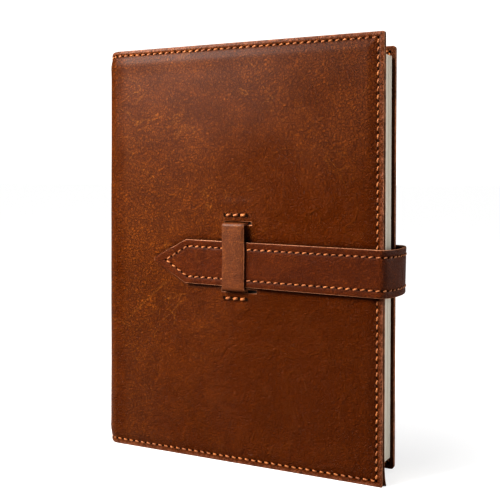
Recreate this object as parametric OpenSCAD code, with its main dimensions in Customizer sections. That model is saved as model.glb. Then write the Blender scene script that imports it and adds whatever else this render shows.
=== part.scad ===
// Refillable leather notebook with a strap and keeper, standing upright.
// The front cover faces -Y, the spine is at -X, the fore-edge at +X and the notebook stands on z = 0.
// Inside the modules x runs from the spine folds towards the fore-edge, and y from the front face to the back.

/* [Refill] */
// Width of a page, from the bound edge to the fore-edge
page_w = 148; // [120:1:170]
// Height of a page
page_h = 210; // [170:1:240]
// Thickness of the closed block of pages
block_t = 22.8; // [12:0.2:30]
// How far the rounded bound edge stands out
round_back = 3; // [1:0.5:4]
// Thickness of the cloth strip over the bound edge
spine_strip_t = 0.8; // [0.4:0.1:1.2]
// Thickness of a card cover
card_t = 1.6; // [1:0.1:2.4]
// Distance from a spine fold to a card cover
card_joint = 3; // [2:0.5:4]

/* [Cover] */
// Thickness of the outer leather
leather_t = 1.8; // [1.4:0.1:2.4]
// Thickness of the pocket leather
pocket_leather_t = 1.4; // [1:0.1:2]
// Width of a pocket, from the fore-edge
pocket_w = 67; // [50:1:90]
// Leather above the pages
head_margin = 8.6; // [7:0.2:12]
// Leather below the pages
foot_margin = 6.4; // [6:0.2:12]
// Leather beyond the pages at the fore-edge
fore_margin = 4; // [4:0.1:8]
// Distance from a spine fold to the bound edge of the pages
joint_gap = 5.5; // [5:0.5:9]
// How far the leather spine stands out behind the folds
spine_bulge = 10; // [7:0.5:14]
// How much lower the back cover is cut at its top edge
back_drop = 3; // [0:0.5:4]
// How far the back cover's fore-edge stays behind the front's
back_recess = 2.5; // [0:0.5:2.5]
// Corner radius of the front cover
front_corner_r = 1.5; // [0.5:0.5:3]
// Corner radius of the back cover
back_corner_r = 4; // [1:0.5:6]
// Height of the padded field above the sewn margin
field_rise = 0.6; // [0.3:0.1:0.9]
// Distance from an edge to the foot of the padded field
field_inset = 4.2; // [4.2:0.1:5]
// Width of the slope round the padded field
field_slope = 0.8; // [0.4:0.1:1.5]

/* [Strap] */
// Width of the strap
strap_w = 24; // [18:0.5:30]
// Thickness of the strap
strap_t = 2.2; // [1.6:0.1:3]
// Length of the strap over the front cover, up to its point
strap_reach = 130.4; // [115:0.2:140]
// Length of the pointed end
point_len = 20; // [12:1:26]
// Length of the strap that is sewn on the back cover
strap_base_len = 70; // [40:1:90]
// Height of the strap's middle at the fore-edge
strap_z = 105.6; // [90:0.1:115]
// Fall of the strap towards the fore-edge, in degrees
strap_fall = 0.9; // [0:0.1:1.2]
// How far the bend stands out beyond the fore-edge
bend_out = 5.4; // [5:0.2:10]

/* [Keeper] */
// Width of the keeper
keeper_w = 13; // [10:0.2:18]
// Thickness of the keeper
keeper_t = 1.2; // [1:0.1:1.4]
// Distance from the fore-edge to the keeper's middle
keeper_from_edge = 80.7; // [76:0.1:90]
// Height of the keeper's middle
keeper_z = 110.7; // [108.5:0.1:112.5]
// Height of the keeper over the strap
keeper_h = 36.5; // [33:0.5:44]
// Length of a sewn tail behind the leather
tail_len = 10; // [7:0.5:14]
// Thickness of a skived tail
tail_t = 0.9; // [0.6:0.1:1]
// Length of a slit
slit_len = 16; // [14:0.5:22]
// Distance from a slit to the row of stitches that holds the tail
tail_seam = 4; // [3:0.5:6]

/* [Stitching] */
// Distance from one stitch to the next
pitch = 3.9; // [3.3:0.1:5]
// Visible length of a stitch
stitch_len = 2.9; // [2.2:0.1:3.1]
// Thickness of the thread
thread_d = 0.9; // [0.6:0.1:1.1]
// Distance from a cover's edge to its seam
seam_inset = 3; // [2.4:0.1:3.2]
// Distance from the strap's edge to its seam
strap_seam_inset = 3.8; // [3:0.1:5]
// Width of a stitching groove
groove_w = 1.2; // [1.2:0.1:1.6]
// Depth of a stitching groove
groove_d = 0.4; // [0.3:0.1:0.5]
// Number of stitches in a keeper seam
keeper_stitches = 3; // [2:1:4]

/* [Hidden] */
// Clearance between the page block and what lies on it
block_gap = 0.3;
// Clearance under the strap on the front cover
strap_gap = 0.1;
// Clearance between the strap and the keeper
keeper_gap = 0.5;
// Clearance all round a tail and in a slit
slit_gap = 0.2;
// Overhang of a cutting shape
over = 1;
// Facets of a quarter round at a corner, and of a half round at the spine, the bend and the bound edge
corner_steps = 4;
half_steps = 20;
// Lift of a straight stitch off a curved face
curve_lift = 0.15;
// How far round the spine and round the bend their seams reach, in degrees either side of the middle
spine_seam_angle = 80;
bend_seam_angle = 74;

panel_w = joint_gap + page_w + fore_margin;
cover_h = foot_margin + page_h + head_margin;
back_w = panel_w - back_recess;
back_h = cover_h - back_drop;
cover_t = leather_t + card_t + pocket_leather_t;
stack_t = block_t + 2 * (cover_t + block_gap);
block_y = cover_t + block_gap;
thread_flat = thread_d * cos(30);
keeper_x = panel_w - keeper_from_edge;
keeper_out = strap_gap + strap_t + keeper_gap + keeper_t;
bend_start = 1;
bend_rx = bend_start + bend_out;
bend_mid = (stack_t - strap_gap) / 2;
bend_ry = (stack_t + strap_gap) / 2 + strap_t;
point_angle = atan(strap_w / 2 / point_len);
seam_apex = -strap_reach + strap_seam_inset / sin(point_angle);
seam_shoulder = seam_apex + (strap_w / 2 - strap_seam_inset) / tan(point_angle);

// The box of the whole notebook, out to the thread on the spine, on the bend and on the strap's base
thread_lift = thread_flat + curve_lift;
low_x = -(spine_bulge - field_rise + thread_lift);
high_x = panel_w - bend_start + (bend_rx + thread_lift) * cos(strap_fall)
         + (strap_w / 2 - strap_seam_inset) * sin(strap_fall);
low_y = -keeper_out;
high_y = stack_t + strap_t + thread_flat - groove_d;

cover_colour = "#7a4526";
pocket_colour = "#5e3319";
strap_colour = "#643220";
thread_colour = "#cf8448";

// Points along part of an ellipse
function arc(cx, cy, rx, ry, from, to, steps) =
    [for (i = [0:steps]) let (a = from + (to - from) * i / steps) [cx + rx * cos(a), cy + ry * sin(a)]];

// One corner of a panel: square, or round where a radius is left
function corner(cx, cy, r, from) = r > 0 ? arc(cx, cy, r, r, from, from + 90, corner_steps) : [[cx, cy]];

// Outline of a panel from x = start, with its two fore-edge corners rounded and an inset on three sides
function panel(start, w, h, r, inset) =
    let (rest = max(r - inset, 0))
    concat([[start, inset]],
           corner(w - inset - rest, inset + rest, rest, -90),
           corner(w - inset - rest, h - inset - rest, rest, 0),
           [[start, h - inset]]);

// A crescent-shaped strip of even thickness, open at its ends
function crescent(cy, rx, ry, t, side) =
    concat(arc(0, cy, side * rx, ry, 90, -90, half_steps),
           arc(0, cy, side * (rx - t), ry - t, -90, 90, half_steps));

// Running length along part of an ellipse, each with its angle
function run_table(rx, ry, from, to) =
    let (points = arc(0, 0, rx, ry, from, to, half_steps))
    [for (i = 0, s = 0;
          i <= half_steps;
          s = s + norm(points[min(i + 1, half_steps)] - points[i]), i = i + 1)
     [s, from + (to - from) * i / half_steps]];

// Everything is drawn from the front fold and moved here to the frame's origin
module place() {
    translate([-(low_x + high_x) / 2, -(low_y + high_y) / 2, 0]) children();
}

// The back cover is the front's mirror image at the other side of the block
module at_back() {
    translate([0, stack_t, 0]) mirror([0, 1, 0]) children();
}

// The strap's own place: turned a little about its bend
module at_strap() {
    translate([panel_w - bend_start, 0, strap_z]) rotate([0, strap_fall, 0]) translate([bend_start, 0, 0]) children();
}

// A flat sheet of an outline in x and z, between two depths
module sheet(from, to, outline) {
    translate([0, to, 0]) rotate([90, 0, 0]) linear_extrude(to - from) polygon(outline);
}

// One stitch along x, lying on the plane y = 0 and standing out towards -y
module stitch(length = stitch_len, d = thread_d) {
    translate([-length / 2, -d * cos(30) / 2, 0]) rotate([0, 90, 0]) cylinder(h = length, d = d, $fn = 6);
}

// A row of stitches along x from 0 to length
module row(length, d = thread_d, wanted = 0) {
    count = wanted > 0 ? wanted : max(1, round(length / pitch));
    for (i = [0:count - 1]) translate([(i + 0.5) * length / count, 0, 0]) stitch(min(stitch_len, 0.8 * length / count), d);
}

// Stitches round part of an ellipse that stands upright at y = cy
module curved_row(cy, rx, ry, from, to) {
    table = run_table(rx, ry, from, to);
    total = table[half_steps][0];
    count = round(total / pitch);
    for (i = [0:count - 1]) {
        a = lookup((i + 0.5) * total / count, table);
        translate([rx * cos(a), cy + ry * sin(a), 0])
            rotate([0, 0, atan2(sin(a) / abs(ry), cos(a) / rx) + 90])
                translate([0, -curve_lift, 0]) stitch(stitch_len, thread_d);
    }
}

// Outer leather of one cover: a sewn margin round a field that the card lifts
module cover_leather(w, h, r) {
    difference() {
        union() {
            sheet(field_rise, field_rise + leather_t, panel(0, w, h, r, 0));
            hull() {
                sheet(0, field_rise / 4, panel(0, w, h, r, field_inset + field_slope));
                sheet(field_rise, leather_t, panel(0, w, h, r, field_inset));
            }
        }
        sheet(leather_t, leather_t + field_rise + over, panel(-over, w, h, r, fore_margin));
        seam_groove(w, h);
    }
}

// The stitching groove along the top, the bottom and the fore-edge
module seam_groove(w, h) {
    low = seam_inset - groove_w / 2;
    for (z = [low, h - low - groove_w])
        translate([-over, field_rise - over, z]) cube([w - low + over, groove_d + over, groove_w]);
    translate([w - low - groove_w, field_rise - over, low]) cube([groove_w, groove_d + over, h - 2 * low]);
}

// The seam of one cover: three rows that meet at the corners
module cover_seam(w, h) {
    for (z = [seam_inset, h - seam_inset])
        translate([0, field_rise + groove_d, z]) row(w - seam_inset);
    translate([w - seam_inset, field_rise + groove_d, seam_inset]) rotate([0, -90, 0]) row(h - 2 * seam_inset);
}

// Pocket leather: sewn to the margin on three sides, open towards the spine
module pocket(w, h, r) {
    start = w - pocket_w;
    difference() {
        union() {
            sheet(leather_t + field_rise, leather_t + field_rise + pocket_leather_t, panel(start, w, h, r, 0));
            sheet(leather_t + card_t, cover_t, panel(start, w, h, r, fore_margin - slit_gap));
        }
        sheet(leather_t, leather_t + card_t, panel(start - over, w, h, r, fore_margin));
    }
}

// Card cover of the refill, inside the pocket
module card(w) {
    translate([card_joint, leather_t, foot_margin]) cube([w - fore_margin - card_joint, card_t, page_h]);
}

module page_block() {
    color("#d8d3c6") translate([joint_gap, 0, foot_margin]) linear_extrude(page_h)
        polygon(concat([[page_w, block_y], [page_w, block_y + block_t]],
                       arc(0, stack_t / 2, -round_back, block_t / 2, 90, -90, half_steps)));
}

module refill_spine() {
    color("#2e2620") translate([joint_gap, 0, foot_margin]) linear_extrude(page_h)
        polygon(crescent(stack_t / 2, round_back + spine_strip_t, block_t / 2 + spine_strip_t, spine_strip_t, -1));
}

module spine_leather() {
    band = field_inset + slit_gap;
    color(cover_colour) difference() {
        union() {
            for (z = [0, cover_h - band - back_drop])
                translate([0, 0, z]) linear_extrude(z > 0 ? band + back_drop : band)
                    polygon(crescent(stack_t / 2, spine_bulge - field_rise, stack_t / 2 - field_rise, leather_t, -1));
            translate([0, 0, field_inset]) linear_extrude(cover_h - 2 * field_inset - back_drop)
                polygon(crescent(stack_t / 2, spine_bulge, stack_t / 2, leather_t, -1));
        }
        // The top edge falls from the front cover to the back cover
        translate([-spine_bulge - over, 0, 0]) rotate([90, 0, 90]) linear_extrude(spine_bulge + 2 * over)
            polygon([[0, cover_h], [stack_t, back_h], [stack_t + over, cover_h + over], [0, cover_h + over]]);
    }
}

module spine_stitching() {
    fall = atan(back_drop / stack_t);
    color(thread_colour) {
        translate([0, 0, seam_inset])
            curved_row(stack_t / 2, -(spine_bulge - field_rise), stack_t / 2 - field_rise,
                       spine_seam_angle, -spine_seam_angle);
        translate([0, 0, cover_h - seam_inset]) rotate([-fall, 0, 0])
            curved_row(stack_t / 2, -(spine_bulge - field_rise), stack_t / 2 - field_rise,
                       spine_seam_angle, -spine_seam_angle);
    }
}

module front_leather() {
    color(cover_colour) difference() {
        cover_leather(panel_w, cover_h, front_corner_r);
        for (side = [-1, 1]) translate([keeper_x, 0, keeper_z]) scale([1, 1, side]) {
            translate([-slit_len / 2, -over, keeper_h / 2 - keeper_t - slit_gap])
                cube([slit_len, leather_t + 2 * over, keeper_t + 2 * slit_gap]);
            translate([-keeper_w / 2 - slit_gap, leather_t - tail_t, keeper_h / 2 - keeper_t])
                cube([keeper_w + 2 * slit_gap, tail_t + over, tail_len + keeper_t + slit_gap]);
            translate([-keeper_w / 2, -over, keeper_h / 2 + tail_seam - groove_w / 2])
                cube([keeper_w, groove_d / 2 + over, groove_w]);
        }
    }
}

module front_pocket() {
    color(pocket_colour) pocket(panel_w, cover_h, front_corner_r);
}

module front_card() {
    color("#33271f") card(panel_w);
}

module front_stitching() {
    color(thread_colour) cover_seam(panel_w, cover_h);
}

module keeper_loop() {
    bend = keeper_t;
    // Upper half of the section, from the middle of the outer face round to the middle of the inner face
    half = concat([[-keeper_out, 0]],
                  arc(-keeper_out + bend, keeper_h / 2 - bend, bend, bend, 180, 90, corner_steps),
                  [[leather_t - tail_t, keeper_h / 2], [leather_t - tail_t, keeper_h / 2 + tail_len],
                   [leather_t, keeper_h / 2 + tail_len], [leather_t, keeper_h / 2 - keeper_t],
                   [-keeper_out + keeper_t, keeper_h / 2 - keeper_t], [-keeper_out + keeper_t, 0]]);
    color(strap_colour) for (side = [-1, 1])
        translate([keeper_x - keeper_w / 2, 0, keeper_z]) scale([1, 1, side])
            rotate([90, 0, 90]) linear_extrude(keeper_w) polygon(half);
}

module keeper_stitching() {
    color(thread_colour) for (side = [-1, 1])
        translate([keeper_x - keeper_w / 2, groove_d / 2, keeper_z + side * (keeper_h / 2 + tail_seam)])
            row(keeper_w, thread_d, keeper_stitches);
}

module back_leather() {
    color(cover_colour) at_back() cover_leather(back_w, back_h, back_corner_r);
}

module back_pocket() {
    color(pocket_colour) at_back() pocket(back_w, back_h, back_corner_r);
}

module back_card() {
    color("#33271f") at_back() card(back_w);
}

module back_stitching() {
    color(thread_colour) at_back() cover_seam(back_w, back_h);
}

// Grooves for the strap's two long seams, cut into a face at y = 0 from the -y side
module strap_grooves(from, to) {
    for (side = [-1, 1])
        translate([from, -over, side * (strap_w / 2 - strap_seam_inset) - groove_w / 2])
            cube([to - from, groove_d + over, groove_w]);
}

module strap_base() {
    half_w = strap_w / 2;
    color(strap_colour) at_strap() at_back() difference() {
        sheet(-strap_t, 0, [[-bend_start, -half_w], [-bend_start, half_w],
                            [-strap_base_len, half_w], [-strap_base_len, -half_w]]);
        translate([0, -strap_t, 0]) strap_grooves(-strap_base_len + strap_seam_inset, 0);
        translate([-strap_base_len + strap_seam_inset - groove_w / 2, -strap_t - over,
                   -half_w + strap_seam_inset - groove_w / 2])
            cube([groove_w, groove_d + over, strap_w - 2 * strap_seam_inset + groove_w]);
    }
}

module strap_base_stitching() {
    seam_half = strap_w / 2 - strap_seam_inset;
    color(thread_colour) at_strap() at_back() translate([0, -strap_t + groove_d, 0]) {
        for (side = [-1, 1])
            translate([-strap_base_len + strap_seam_inset, 0, side * seam_half])
                row(strap_base_len - strap_seam_inset - bend_start);
        translate([-strap_base_len + strap_seam_inset, 0, -seam_half]) rotate([0, -90, 0]) row(2 * seam_half);
    }
}

module strap() {
    half_w = strap_w / 2;
    color(strap_colour) at_strap() {
        difference() {
            sheet(-strap_gap - strap_t, -strap_gap,
                  [[-bend_start, -half_w], [-bend_start, half_w], [point_len - strap_reach, half_w],
                   [-strap_reach, 0], [point_len - strap_reach, -half_w]]);
            translate([0, -strap_gap - strap_t, 0]) {
                strap_grooves(seam_shoulder, 0);
                for (side = [-1, 1])
                    translate([seam_apex, 0, 0]) rotate([0, -side * point_angle, 0])
                        translate([-groove_w / 2, -over, -groove_w / 2])
                            cube([(seam_shoulder - seam_apex) / cos(point_angle) + groove_w, groove_d + over, groove_w]);
            }
        }
        translate([-bend_start, 0, -half_w]) linear_extrude(strap_w)
            polygon(crescent(bend_mid, bend_rx, bend_ry, strap_t, 1));
    }
}

module strap_stitching() {
    seam_half = strap_w / 2 - strap_seam_inset;
    color(thread_colour) at_strap() {
        translate([0, -strap_gap - strap_t + groove_d, 0]) for (side = [-1, 1]) {
            translate([seam_shoulder, 0, side * seam_half]) row(-bend_start - seam_shoulder);
            translate([seam_apex, 0, 0]) rotate([0, -side * point_angle, 0])
                row((seam_shoulder - seam_apex) / cos(point_angle));
        }
        for (side = [-1, 1])
            translate([-bend_start, 0, side * seam_half]) curved_row(bend_mid, bend_rx, bend_ry, -bend_seam_angle, bend_seam_angle);
    }
}

place() {
    page_block();
    refill_spine();
    spine_leather();
    spine_stitching();
    front_leather();
    front_pocket();
    front_card();
    front_stitching();
    keeper_loop();
    keeper_stitching();
    back_leather();
    back_pocket();
    back_card();
    back_stitching();
    strap_base();
    strap_base_stitching();
    strap();
    strap_stitching();
}
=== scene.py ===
"""Looks of the leather notebook: hide cover, strap and keeper, sewn seams and pages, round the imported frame."""

from __future__ import annotations

import logging
import math
import random
from contextlib import contextmanager
from dataclasses import dataclass, field
from enum import Enum
from functools import partial
from typing import Any, Callable, Iterable, Iterator, Sequence

import bpy
import numpy as np
from mathutils import Matrix, Vector, noise

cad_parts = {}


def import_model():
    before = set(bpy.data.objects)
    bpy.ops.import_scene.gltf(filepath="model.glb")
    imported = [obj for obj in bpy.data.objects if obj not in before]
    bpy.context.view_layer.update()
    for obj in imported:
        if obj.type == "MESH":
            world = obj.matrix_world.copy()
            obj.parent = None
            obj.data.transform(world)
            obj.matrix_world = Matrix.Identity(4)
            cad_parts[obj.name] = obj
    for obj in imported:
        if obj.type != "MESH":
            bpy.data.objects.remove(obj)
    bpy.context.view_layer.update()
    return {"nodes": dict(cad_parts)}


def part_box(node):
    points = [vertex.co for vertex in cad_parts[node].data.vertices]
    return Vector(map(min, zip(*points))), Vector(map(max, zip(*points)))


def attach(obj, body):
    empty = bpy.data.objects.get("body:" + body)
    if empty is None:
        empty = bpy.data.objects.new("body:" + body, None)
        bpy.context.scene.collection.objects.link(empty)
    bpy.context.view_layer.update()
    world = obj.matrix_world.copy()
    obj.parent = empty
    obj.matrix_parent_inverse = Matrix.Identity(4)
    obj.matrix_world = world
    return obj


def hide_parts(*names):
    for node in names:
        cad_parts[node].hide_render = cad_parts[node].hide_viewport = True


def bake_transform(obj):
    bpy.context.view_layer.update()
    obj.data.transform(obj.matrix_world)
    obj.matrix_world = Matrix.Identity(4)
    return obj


Object = bpy.types.Object
Material = bpy.types.Material
Tree = bpy.types.NodeTree
Node = bpy.types.Node
Socket = bpy.types.NodeSocket
Array = np.ndarray
Colour = tuple[float, float, float, float]

MM = 0.001
LOG = logging.getLogger("notebook")


class Side(Enum):
    """The two cover panels; the value is the sign of y that points out of the panel."""

    FRONT = -1
    BACK = 1


class Slot(Enum):
    """Names of the notebook's material slots."""

    COVER = "cover_leather"
    POCKET = "pocket_leather"
    STRAP = "strap_leather"
    PAPER = "paper"
    THREAD = "thread"


@dataclass(frozen=True)
class Layout:
    """Places that every piece shares, in metres, read from the frame's own nodes."""

    fold_x: float
    fore_x: dict[Side, float]
    face_y: dict[Side, float]
    top: dict[Side, float]
    bulge: float

    @classmethod
    def from_frame(cls) -> Layout:
        """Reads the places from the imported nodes.

        Returns:
            The layout of this notebook.
        """
        low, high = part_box("front_leather")
        _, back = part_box("back_leather")
        return cls(
            fold_x=low.x,
            fore_x={Side.FRONT: high.x, Side.BACK: back.x},
            face_y={Side.FRONT: low.y, Side.BACK: back.y},
            top={Side.FRONT: high.z, Side.BACK: back.z},
            bulge=low.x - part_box("spine_leather")[0].x,
        )


@dataclass(frozen=True)
class Seams:
    """Sizes of the sewing that the cover and the strap share."""

    pitch: float = 3.9 * MM
    thread: float = 0.9 * MM
    inset: float = 3.0 * MM
    strap_inset: float = 3.8 * MM
    groove: float = 0.45 * MM
    groove_half: float = 0.6 * MM
    dimple: float = 0.22 * MM

    def fitted(self, length: float) -> float:
        """The pitch that fits a whole number of stitches into a length."""
        return length / max(1, round(length / self.pitch))

    def pull(self, run: Array) -> Array:
        """How much a stitch's hole pulls the leather down, 1 at each hole."""
        return 0.5 + 0.5 * np.cos(2 * math.pi * run / self.pitch)


SEAMS = Seams()


# Mesh tools


def select_only(*objects: Object) -> None:
    """Selects these objects alone, with the first one active, since an operator acts on all that is selected."""
    if bpy.context.object and bpy.context.object.mode != "OBJECT":
        bpy.ops.object.mode_set(mode="OBJECT")
    bpy.ops.object.select_all(action="DESELECT")
    for obj in objects:
        obj.select_set(True)
    if objects:
        bpy.context.view_layer.objects.active = objects[0]


@contextmanager
def editing(obj: Object, whole: bool = True) -> Iterator[None]:
    """Edit mode on obj alone.

    Args:
        obj: Object to edit.
        whole: Whether all of its mesh is selected first.

    Yields:
        Nothing.
    """
    select_only(obj)
    bpy.ops.object.mode_set(mode="EDIT")
    if whole:
        bpy.ops.mesh.select_all(action="SELECT")
    yield
    bpy.ops.object.mode_set(mode="OBJECT")


def points_of(obj: Object) -> Array:
    """The object's vertices as an array of one row each."""
    points = np.empty(len(obj.data.vertices) * 3)
    obj.data.vertices.foreach_get("co", points)
    return points.reshape(-1, 3)


def put_points(obj: Object, points: Array) -> None:
    """Moves the object's vertices to the given rows."""
    obj.data.vertices.foreach_set("co", points.astype(np.float32).ravel())
    obj.data.update()


def add_values(obj: Object, name: str, values: Array) -> None:
    """Gives the vertices a number each, for the materials to read."""
    obj.data.attributes.new(name, "FLOAT", "POINT").data.foreach_set("value", values.astype(np.float32))


def smoothstep(low: float, high: float, value: Array) -> Array:
    """Smooth rise from 0 at low to 1 at high."""
    t = np.clip((value - low) / (high - low), 0, 1)
    return t * t * (3 - 2 * t)


def bell(value: Array, middle: float, half: float) -> Array:
    """Smooth hump, 1 at the middle."""
    return np.exp(-(((value - middle) / half) ** 2))


def noise_at(points: Array, size: float, seed: float) -> Array:
    """Smooth noise of about -1 to 1 at each point, which changes over the given size."""
    shift = Vector((seed, 1.7 * seed, 2.3 * seed))
    return np.array([noise.noise(Vector(p) / size + shift) for p in points])


def ruled_lines(length: float, fine: float, fine_step: float, step: float, low_fine: bool) -> Array:
    """Positions of the lines of a grid, closer together near a sewn edge.

    Args:
        length: Whole length that the lines rule.
        fine: Length of the finely ruled stretch at an edge.
        fine_step: Distance between lines there.
        step: Distance between the other lines.
        low_fine: Whether the low end is finely ruled too.

    Returns:
        The positions from 0 to length.
    """
    start = fine if low_fine else 0.0
    fine_lines = np.linspace(0, fine, round(fine / fine_step) + 1)
    middle = np.linspace(start, length - fine, round((length - fine - start) / step) + 1)
    low = fine_lines[:-1] if low_fine else np.empty(0)
    return np.concatenate([low, middle, length - fine_lines[::-1][1:]])


def snapped(lines: Array, places: Iterable[float]) -> Array:
    """Moves the nearest line to each place, so that a cut can follow it."""
    for place in places:
        lines[np.abs(lines - place).argmin()] = place
    return lines


def ruled_grid(name: str, across: Array, along: Array) -> tuple[Object, Array, Array]:
    """Adds a grid whose lines can be laid anywhere.

    Args:
        name: Name of the new object.
        across: Line positions in the grid's first direction.
        along: Line positions in its second direction.

    Returns:
        The object, and each vertex's place across and along.
    """
    select_only()
    bpy.ops.mesh.primitive_grid_add(x_subdivisions=len(across) - 1, y_subdivisions=len(along) - 1, size=2)
    obj = bpy.context.object
    obj.name = obj.data.name = name
    unit = (points_of(obj)[:, :2] + 1) / 2
    i = np.rint(unit[:, 0] * (len(across) - 1)).astype(int)
    j = np.rint(unit[:, 1] * (len(along) - 1)).astype(int)
    return obj, across[i], along[j]


def remove_faces(obj: Object, inside: Callable[[Array], Array]) -> None:
    """Deletes the faces whose centres lie inside a region.

    Args:
        obj: Mesh to cut.
        inside: Tells for each centre whether it lies in the region.
    """
    for part in (obj.data.vertices, obj.data.edges):
        part.foreach_set("select", np.zeros(len(part), bool))
    obj.data.polygons.foreach_set("select", inside(np.array([p.center for p in obj.data.polygons])))
    with editing(obj, whole=False):
        bpy.ops.mesh.select_mode(type="FACE")
        bpy.ops.mesh.delete(type="FACE")


def flip_faces(obj: Object) -> None:
    """Turns every face of obj round."""
    with editing(obj):
        bpy.ops.mesh.flip_normals()


def make_leather(obj: Object, thickness: float, rounding: float, dressed: Sequence[Material],
                 sharp: Callable[[Vector], bool] | None = None, clamp: bool = True) -> None:
    """Thickens a sheet inwards, rounds its cut edges and shades it.

    Args:
        obj: The sheet.
        thickness: Thickness of the leather.
        rounding: Width of the rounding.
        dressed: Materials of the skin and of the cut edge.
        sharp: Tells of an edge's middle whether it stays sharp, as where two pieces meet.
        clamp: Whether the closest lines limit the rounding, which a narrow tip would do all round.
    """
    dress(obj, *dressed)
    solidify = obj.modifiers.new("thickness", "SOLIDIFY")
    solidify.thickness = thickness
    solidify.offset = -1
    solidify.use_even_offset = True
    solidify.material_offset_rim = 1
    select_only(obj)
    bpy.ops.object.modifier_apply(modifier=solidify.name)
    mesh = obj.data
    skin: dict[tuple[int, int], list[int]] = {}
    for polygon in mesh.polygons:
        for key in polygon.edge_keys:
            skin.setdefault(key, []).append(polygon.material_index)
    for part in (mesh.vertices, mesh.polygons):
        part.foreach_set("select", np.zeros(len(part), bool))
    for edge in mesh.edges:
        middle = (mesh.vertices[edge.vertices[0]].co + mesh.vertices[edge.vertices[1]].co) / 2
        edge.select = sorted(skin.get(edge.key, [])) == [0, 1] and not (sharp and sharp(middle))
    with editing(obj, whole=False):
        bpy.ops.mesh.select_mode(type="EDGE")
        bpy.ops.mesh.bevel(offset=rounding, segments=2, profile=0.5, affect="EDGES", clamp_overlap=clamp, material=1)
    shade(obj)


def shade(obj: Object, degrees: float = 38) -> None:
    """Smooth shading that keeps edges sharper than an angle."""
    select_only(obj)
    bpy.ops.object.shade_smooth_by_angle(angle=math.radians(degrees))


def dress(obj: Object, *materials: Material) -> None:
    """Gives obj its materials, in slot order."""
    obj.data.materials.clear()
    for material in materials:
        obj.data.materials.append(material)


def copies(base: Object, places: Sequence[Matrix]) -> list[Object]:
    """Copies an object to each place, each copy with its own mesh, and removes the base.

    Args:
        base: Modelled at the origin.
        places: One matrix for each copy.

    Returns:
        The copies.
    """
    made = []
    for place in places:
        copy = base.copy()
        copy.data = base.data.copy()
        copy.data.transform(place)
        bpy.context.collection.objects.link(copy)
        made.append(copy)
    bpy.data.objects.remove(base)
    return made


def joined(name: str, objects: Sequence[Object]) -> Object:
    """Joins objects into one named piece."""
    select_only(*objects)
    bpy.ops.object.join()
    objects[0].name = objects[0].data.name = name
    return objects[0]


@dataclass(frozen=True)
class Outline:
    """A curved sheet's outer face seen from above.

    Attributes:
        points: Rows of x and y along it.
        normals: The way out of the sheet at each point.
    """

    points: Array
    normals: Array

    @property
    def run(self) -> Array:
        """Running length at each point."""
        return np.concatenate([[0], np.cumsum(np.linalg.norm(np.diff(self.points, axis=0), axis=1))])

    @property
    def length(self) -> float:
        """Whole running length."""
        return float(self.run[-1])

    def at(self, distance: Array) -> tuple[Array, Array]:
        """Points and normals at running lengths, each with x and y."""
        run = self.run
        point, out = (np.stack([np.interp(distance, run, rows[:, k]) for k in range(2)], -1)
                      for rows in (self.points, self.normals))
        return point, out / np.linalg.norm(out, axis=-1, keepdims=True)


def half_oval(centre: tuple[float, float], across: float, half: float, count: int, end: bool) -> Outline:
    """Half an oval that bulges along x, from low y to high y.

    Args:
        centre: Its x and y.
        across: How far it bulges, negative towards low x.
        half: Half its size along y.
        count: Number of points.
        end: Whether the last point is given too.

    Returns:
        The outline.
    """
    angle = np.linspace(-math.pi / 2, math.pi / 2, count, endpoint=end)
    points = np.stack([centre[0] + across * np.cos(angle), centre[1] + half * np.sin(angle)], -1)
    normals = np.stack([np.cos(angle) / across, np.sin(angle) / half], -1)
    return Outline(points, normals / np.linalg.norm(normals, axis=1)[:, None])


# Shader tools


def add_node(tree: Tree, kind: str, inputs: dict[str | int, Any] | None = None, **settings: Any) -> Node:
    """Adds a node, sets it and wires it.

    Args:
        tree: Node tree that takes it.
        kind: The node's type name.
        inputs: Socket name or number to a value, or to the output that feeds it.
        **settings: The node's own properties.

    Returns:
        The new node.
    """
    node = tree.nodes.new(kind)
    for name, value in settings.items():
        setattr(node, name, value)
    for name, value in (inputs or {}).items():
        if isinstance(value, Socket):
            tree.links.new(value, node.inputs[name])
        else:
            node.inputs[name].default_value = value
    return node


def math_node(tree: Tree, operation: str, *values: Any) -> Socket:
    """A Math node's output; each value is a number or an output."""
    return add_node(tree, "ShaderNodeMath", dict(enumerate(values)), operation=operation).outputs[0]


def mixed(tree: Tree, factor: Any, low: Any, high: Any) -> Socket:
    """A colour between low and high."""
    return add_node(tree, "ShaderNodeMix", {0: factor, 6: low, 7: high}, data_type="RGBA").outputs[2]


def ranged(tree: Tree, value: Any, low: Any, high: Any, to_low: float = 0.0, to_high: float = 1.0,
           curve: str = "SMOOTHSTEP") -> Socket:
    """A value's range moved to another, with its ends clamped."""
    inputs = {0: value, 1: low, 2: high, 3: to_low, 4: to_high}
    return add_node(tree, "ShaderNodeMapRange", inputs, interpolation_type=curve).outputs[0]


def cloudy(tree: Tree, vector: Socket, scale: Any, detail: float = 2.0, roughness: float = 0.5,
           distortion: Any = 0.0, output: int = 0) -> Socket:
    """Noise, as a value or, with output 1, as a colour."""
    inputs = {"Vector": vector, "Scale": scale, "Detail": detail, "Roughness": roughness, "Distortion": distortion}
    return add_node(tree, "ShaderNodeTexNoise", inputs).outputs[output]


def cell_edges(tree: Tree, vector: Socket, scale: Socket, warp: Socket, amount: float) -> Socket:
    """Distance from the nearest edge between cells, whose places a colour warps."""
    moved = add_node(tree, "ShaderNodeVectorMath", {0: warp, 1: (amount,) * 3, 2: vector}, operation="MULTIPLY_ADD")
    inputs = {"Vector": moved.outputs[0], "Scale": scale}
    return add_node(tree, "ShaderNodeTexVoronoi", inputs, feature="DISTANCE_TO_EDGE").outputs["Distance"]


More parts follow.
